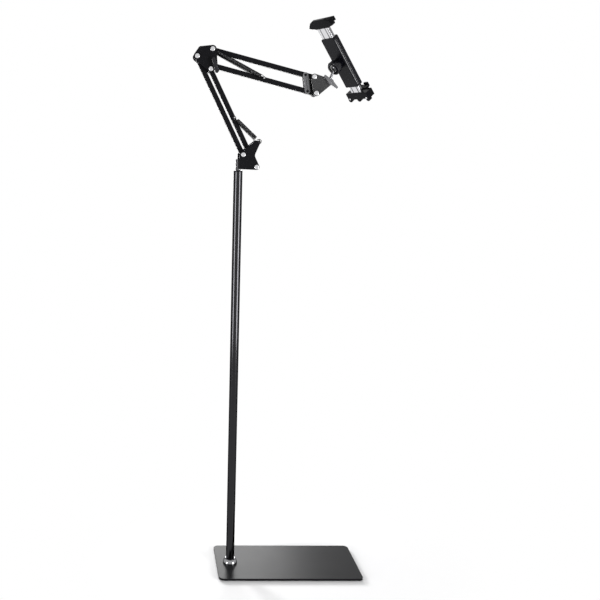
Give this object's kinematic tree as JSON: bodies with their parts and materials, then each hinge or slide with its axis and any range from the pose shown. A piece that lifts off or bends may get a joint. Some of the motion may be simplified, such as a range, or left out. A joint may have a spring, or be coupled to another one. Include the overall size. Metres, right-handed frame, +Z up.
{
  "type": "adjustable tablet floor stand",
  "caption": "Tall floor stand: flat plate, slim pole, sprung parallelogram arm and a tilting clamp that grips a tablet by its edges.",
  "frame": {"origin": "on the pole's axis at floor level, under the base mat", "axes": "+Z up the pole, +X along the base plate and the way the upper arm reaches, -Y towards the viewer of the picture"},
  "size_m": [0.4523, 0.187, 1.4121],
  "materials": {
    "black_powder": "satin",
    "gloss_black": "gloss",
    "chrome": "polished",
    "zinc": "bright",
    "spring_steel": "black oxide",
    "dark_steel": "plain",
    "black_plastic": "satin",
    "grey_plastic": "satin",
    "nylon": "matte",
    "black_rubber": "matte"
  },
  "bodies": {
    "base": {"base_mat": "black_rubber", "base_plate": "black_powder", "foot_stud": "dark_steel", "foot_plug": "dark_steel", "foot_collar": "chrome", "pole_lower_tube": "gloss_black", "pole_joint_socket": "dark_steel", "pole_joint_plug": "dark_steel", "pole_upper_tube": "gloss_black", "pole_bush": "black_plastic"},
    "swivel": {"swivel_pin": "chrome", "pin_rivets": "zinc", "base_bracket": "black_powder", "spring_anchors": "zinc", "bracket_bolts": "zinc", "bracket_nuts": "zinc", "bracket_sleeves": "nylon", "lower_spring_near": "spring_steel", "lower_spring_far": "spring_steel"},
    "lower_main": {"lower_left_bar": "black_powder"},
    "lower_second": {"lower_right_bar": "black_powder", "lower_spring_pin": "zinc"},
    "elbow": {"elbow_near_plate": "black_powder", "elbow_far_plate": "black_powder", "elbow_bolts": "zinc", "elbow_nuts": "zinc", "elbow_sleeves": "nylon", "elbow_clamp_bolt": "zinc", "upper_spring_near": "spring_steel", "upper_spring_far": "spring_steel"},
    "elbow_knob": {"elbow_knob": "black_plastic"},
    "upper_top": {"upper_top_bar": "black_powder"},
    "upper_bottom": {"upper_bottom_bar": "black_powder", "upper_spring_pin": "zinc"},
    "front_link": {"front_links": "black_powder", "link_rivets": "black_powder"},
    "front": {"front_bracket": "black_powder", "front_bolts": "zinc", "front_nuts": "zinc", "front_sleeves": "nylon"},
    "wing_bolt": {"wing_bolt": "grey_plastic"},
    "stem": {"stem": "chrome"},
    "ball_pad": {"ball_pad": "nylon"},
    "ball_seat": {"ball_seat": "nylon"},
    "holder": {"ball_socket": "black_plastic", "holder_housing": "black_plastic", "holder_cover": "black_plastic"},
    "lock_ring": {"lock_ring": "black_plastic"},
    "upper_jaw": {"upper_rail": "chrome", "upper_jaw": "black_plastic", "upper_jaw_pad": "black_rubber"},
    "lower_jaw": {"lower_rail": "chrome", "lower_jaw": "black_plastic", "lower_jaw_pad": "black_rubber", "lower_jaw_screws": "zinc"}
  },
  "joints": [
    {"name": "base_swivel", "type": "hinge", "parent": "base", "child": "swivel", "pos_m": [0, 0, 1.049], "axis": [0, 0, 1], "continuous": true},
    {"name": "lower_arm", "type": "hinge", "parent": "swivel", "child": "lower_main", "pos_m": [0.01, 0, 1.088], "axis": [0, 1, 0], "range_deg": [-5, 60]},
    {"name": "lower_second_bar", "type": "hinge", "parent": "swivel", "child": "lower_second", "pos_m": [0.04307, 0, 1.05822], "axis": [0, 1, 0], "range_deg": [-5, 60], "deforming": ["lower_spring_near", "lower_spring_far"]},
    {"name": "elbow_level", "type": "hinge", "parent": "lower_main", "child": "elbow", "pos_m": [-0.1052, 0, 1.32109], "axis": [0, 1, 0], "range_deg": [-60, 5]},
    {"name": "elbow_knob_turn", "type": "hinge", "parent": "elbow", "child": "elbow_knob", "pos_m": [-0.0627, 0, 1.29905], "axis": [0, -1, 0], "continuous": true},
    {"name": "upper_arm", "type": "hinge", "parent": "elbow", "child": "upper_top", "pos_m": [-0.0687, 0, 1.33739], "axis": [0, 1, 0], "range_deg": [-60, 30]},
    {"name": "upper_bottom_bar_swing", "type": "hinge", "parent": "elbow", "child": "upper_bottom", "pos_m": [-0.0627, 0, 1.29905], "axis": [0, 1, 0], "range_deg": [-60, 30], "deforming": ["upper_spring_near", "upper_spring_far"]},
    {"name": "front_level", "type": "hinge", "parent": "upper_top", "child": "front", "pos_m": [0.17699, 0, 1.27293], "axis": [0, 1, 0], "range_deg": [-30, 60]},
    {"name": "front_link_level", "type": "hinge", "parent": "upper_top", "child": "front_link", "pos_m": [0.15764, 0, 1.27801], "axis": [0, 1, 0], "range_deg": [-30, 60]},
    {"name": "wing_bolt_turn", "type": "hinge", "parent": "front", "child": "wing_bolt", "pos_m": [0.21589, 0, 1.26093], "axis": [0, -1, 0], "continuous": true},
    {"name": "stem_tilt", "type": "hinge", "parent": "front", "child": "stem", "pos_m": [0.21589, 0, 1.26093], "axis": [0, 1, 0], "range_deg": [-46, 90]},
    {"name": "ball_turn", "type": "hinge", "parent": "stem", "child": "ball_pad", "pos_m": [0.22888, 0, 1.29643], "axis": [0.3437, 0, 0.9391], "range_deg": [-120, 50]},
    {"name": "ball_tilt", "type": "hinge", "parent": "ball_pad", "child": "ball_seat", "pos_m": [0.22888, 0, 1.29643], "axis": [0.6012, -0.7682, -0.22], "range_deg": [-2.9, 64]},
    {"name": "holder_turn", "type": "hinge", "parent": "ball_seat", "child": "holder", "pos_m": [0.22888, 0, 1.29643], "axis": [-0.6964, -0.3687, -0.6157], "continuous": true},
    {"name": "lock_ring_turn", "type": "hinge", "parent": "holder", "child": "lock_ring", "pos_m": [0.22888, 0, 1.29643], "axis": [-0.6964, -0.3687, -0.6157], "continuous": true},
    {"name": "upper_jaw_slide", "type": "slide", "parent": "holder", "child": "upper_jaw", "axis": [0.5441, 0.2881, -0.788], "range_m": [-0.012, 0.025]},
    {"name": "lower_jaw_slide", "type": "slide", "parent": "holder", "child": "lower_jaw", "axis": [-0.5441, -0.2881, 0.788], "range_m": [-0.014, 0.014]}
  ],
  "couplings": [
    {"joint": "lower_second_bar", "follows": "lower_arm", "ratio": 1},
    {"joint": "elbow_level", "follows": "lower_arm", "ratio": -1},
    {"joint": "upper_bottom_bar_swing", "follows": "upper_arm", "ratio": 1},
    {"joint": "front_level", "follows": "upper_arm", "ratio": -1},
    {"joint": "front_link_level", "follows": "upper_arm", "ratio": -1}
  ]
}
